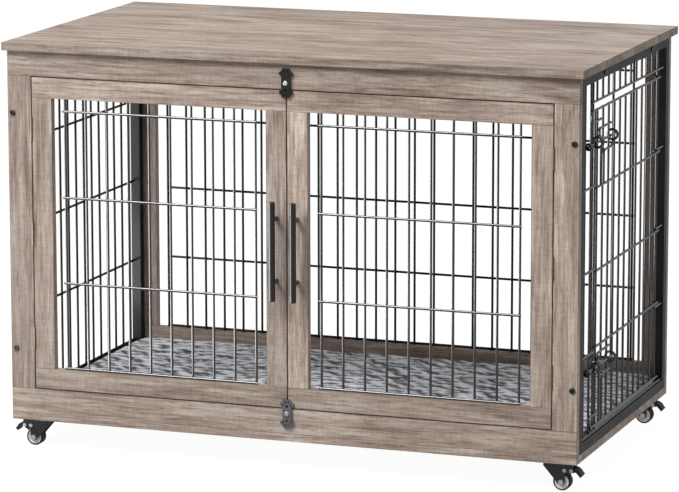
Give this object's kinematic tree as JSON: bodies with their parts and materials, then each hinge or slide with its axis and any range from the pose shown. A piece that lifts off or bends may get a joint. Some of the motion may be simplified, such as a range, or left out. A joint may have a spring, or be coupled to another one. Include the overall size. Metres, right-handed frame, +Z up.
{
  "type": "furniture-style wire dog crate",
  "caption": "Low dog crate built like a cabinet: wood-look boards, black wire grids, paired front doors, a wire side door, turn latches and braked swivel casters.",
  "frame": {"origin": "on the floor under the centre of the overall box", "axes": "+X along the width to the viewer's right when facing the doors, +Y from the doors to the rear, +Z up"},
  "size_m": [1.2, 0.708, 0.8225],
  "materials": {
    "oak_laminate": "satin",
    "black_steel": "satin",
    "frame_steel": "satin",
    "latch_black": "gloss",
    "latch_grey": "satin",
    "hinge_brown": "satin",
    "bright_steel": "satin",
    "screw_black": "satin",
    "mat_fabric": "plush",
    "wheel_grey": "matte",
    "wheel_rubber": "matte",
    "brake_plastic": "matte"
  },
  "bodies": {
    "crate": {"top_board": "oak_laminate", "bottom_board": "oak_laminate", "front_left_post": "oak_laminate", "front_right_post": "oak_laminate", "front_top_rail": "oak_laminate", "front_bottom_rail": "oak_laminate", "rear_left_post": "oak_laminate", "rear_right_post": "oak_laminate", "rear_top_rail": "oak_laminate", "rear_bottom_rail": "oak_laminate", "rear_wire_panel": "black_steel", "left_wire_panel": "black_steel", "right_fixed_wires": "black_steel", "left_side_frame": "frame_steel", "right_side_frame": "frame_steel", "frame_screws": "screw_black", "mat": "mat_fabric", "caster_plates": "bright_steel", "caster_plate_screws": "bright_steel", "latch_screws": "bright_steel", "post_hinge_leaves": "hinge_brown"},
    "left_door": {"left_door_outer_stile": "oak_laminate", "left_door_inner_stile": "oak_laminate", "left_door_top_rail": "oak_laminate", "left_door_bottom_rail": "oak_laminate", "left_door_wires": "black_steel", "left_door_handle": "black_steel", "left_door_hinge_leaves": "hinge_brown"},
    "right_door": {"right_door_outer_stile": "oak_laminate", "right_door_inner_stile": "oak_laminate", "right_door_top_rail": "oak_laminate", "right_door_bottom_rail": "oak_laminate", "right_door_wires": "black_steel", "right_door_handle": "black_steel", "right_door_hinge_leaves": "hinge_brown"},
    "top_latch": {"top_latch": "latch_black"},
    "bottom_latch": {"bottom_latch": "latch_grey"},
    "side_door": {"side_door_wires": "black_steel"},
    "upper_bolt": {"upper_bolt": "black_steel"},
    "lower_bolt": {"lower_bolt": "black_steel"},
    "front_left_caster": {"front_left_fork": "black_steel", "front_left_axle": "bright_steel"},
    "front_left_wheel": {"front_left_hub": "wheel_grey", "front_left_tyre": "wheel_rubber"},
    "front_left_brake": {"front_left_brake": "brake_plastic"},
    "front_right_caster": {"front_right_fork": "black_steel", "front_right_axle": "bright_steel"},
    "front_right_wheel": {"front_right_hub": "wheel_grey", "front_right_tyre": "wheel_rubber"},
    "front_right_brake": {"front_right_brake": "brake_plastic"},
    "rear_left_caster": {"rear_left_fork": "black_steel", "rear_left_axle": "bright_steel"},
    "rear_left_wheel": {"rear_left_hub": "wheel_grey", "rear_left_tyre": "wheel_rubber"},
    "rear_left_brake": {"rear_left_brake": "brake_plastic"},
    "rear_right_caster": {"rear_right_fork": "black_steel", "rear_right_axle": "bright_steel"},
    "rear_right_wheel": {"rear_right_hub": "wheel_grey", "rear_right_tyre": "wheel_rubber"},
    "rear_right_brake": {"rear_right_brake": "brake_plastic"}
  },
  "joints": [
    {"name": "left_door_hinge", "type": "hinge", "parent": "crate", "child": "left_door", "pos_m": [-0.5399, -0.3225, 0.44], "axis": [0, 0, -1], "range_deg": [0, 170]},
    {"name": "right_door_hinge", "type": "hinge", "parent": "crate", "child": "right_door", "pos_m": [0.5399, -0.3225, 0.44], "axis": [0, 0, 1], "range_deg": [0, 170]},
    {"name": "top_latch_turn", "type": "hinge", "parent": "crate", "child": "top_latch", "pos_m": [0, -0.32425, 0.7695], "axis": [0, 1, 0], "range_deg": [-90, 90]},
    {"name": "bottom_latch_turn", "type": "hinge", "parent": "crate", "child": "bottom_latch", "pos_m": [0, -0.32425, 0.1145], "axis": [0, 1, 0], "range_deg": [-90, 90]},
    {"name": "side_door_hinge", "type": "hinge", "parent": "crate", "child": "side_door", "pos_m": [0.5815, 0.26725, 0.413], "axis": [0, 0, 1], "range_deg": [0, 150]},
    {"name": "upper_bolt_slide", "type": "slide", "parent": "side_door", "child": "upper_bolt", "axis": [0, 1, 0], "range_m": [0, 0.03]},
    {"name": "lower_bolt_slide", "type": "slide", "parent": "side_door", "child": "lower_bolt", "axis": [0, 1, 0], "range_m": [0, 0.03]},
    {"name": "front_left_swivel", "type": "hinge", "parent": "crate", "child": "front_left_caster", "pos_m": [-0.538, -0.2885, 0.052], "axis": [0, 0, 1], "continuous": true},
    {"name": "front_left_roll", "type": "hinge", "parent": "front_left_caster", "child": "front_left_wheel", "pos_m": [-0.5545, -0.2885, 0.0175], "axis": [0, 1, 0], "continuous": true},
    {"name": "front_left_brake_lever", "type": "hinge", "parent": "front_left_caster", "child": "front_left_brake", "pos_m": [-0.5747, -0.2885, 0.0412], "axis": [0, 1, 0], "range_deg": [0, 20]},
    {"name": "front_right_swivel", "type": "hinge", "parent": "crate", "child": "front_right_caster", "pos_m": [0.538, -0.2885, 0.052], "axis": [0, 0, 1], "continuous": true},
    {"name": "front_right_roll", "type": "hinge", "parent": "front_right_caster", "child": "front_right_wheel", "pos_m": [0.5545, -0.2885, 0.0175], "axis": [0, 1, 0], "continuous": true},
    {"name": "front_right_brake_lever", "type": "hinge", "parent": "front_right_caster", "child": "front_right_brake", "pos_m": [0.5747, -0.2885, 0.0412], "axis": [0, -1, 0], "range_deg": [0, 20]},
    {"name": "rear_left_swivel", "type": "hinge", "parent": "crate", "child": "rear_left_caster", "pos_m": [-0.538, 0.303, 0.052], "axis": [0, 0, 1], "continuous": true},
    {"name": "rear_left_roll", "type": "hinge", "parent": "rear_left_caster", "child": "rear_left_wheel", "pos_m": [-0.5545, 0.303, 0.0175], "axis": [0, 1, 0], "continuous": true},
    {"name": "rear_left_brake_lever", "type": "hinge", "parent": "rear_left_caster", "child": "rear_left_brake", "pos_m": [-0.5747, 0.303, 0.0412], "axis": [0, 1, 0], "range_deg": [0, 20]},
    {"name": "rear_right_swivel", "type": "hinge", "parent": "crate", "child": "rear_right_caster", "pos_m": [0.538, 0.303, 0.052], "axis": [0, 0, 1], "continuous": true},
    {"name": "rear_right_roll", "type": "hinge", "parent": "rear_right_caster", "child": "rear_right_wheel", "pos_m": [0.5545, 0.303, 0.0175], "axis": [0, 1, 0], "continuous": true},
    {"name": "rear_right_brake_lever", "type": "hinge", "parent": "rear_right_caster", "child": "rear_right_brake", "pos_m": [0.5747, 0.303, 0.0412], "axis": [0, -1, 0], "range_deg": [0, 20]}
  ]
}
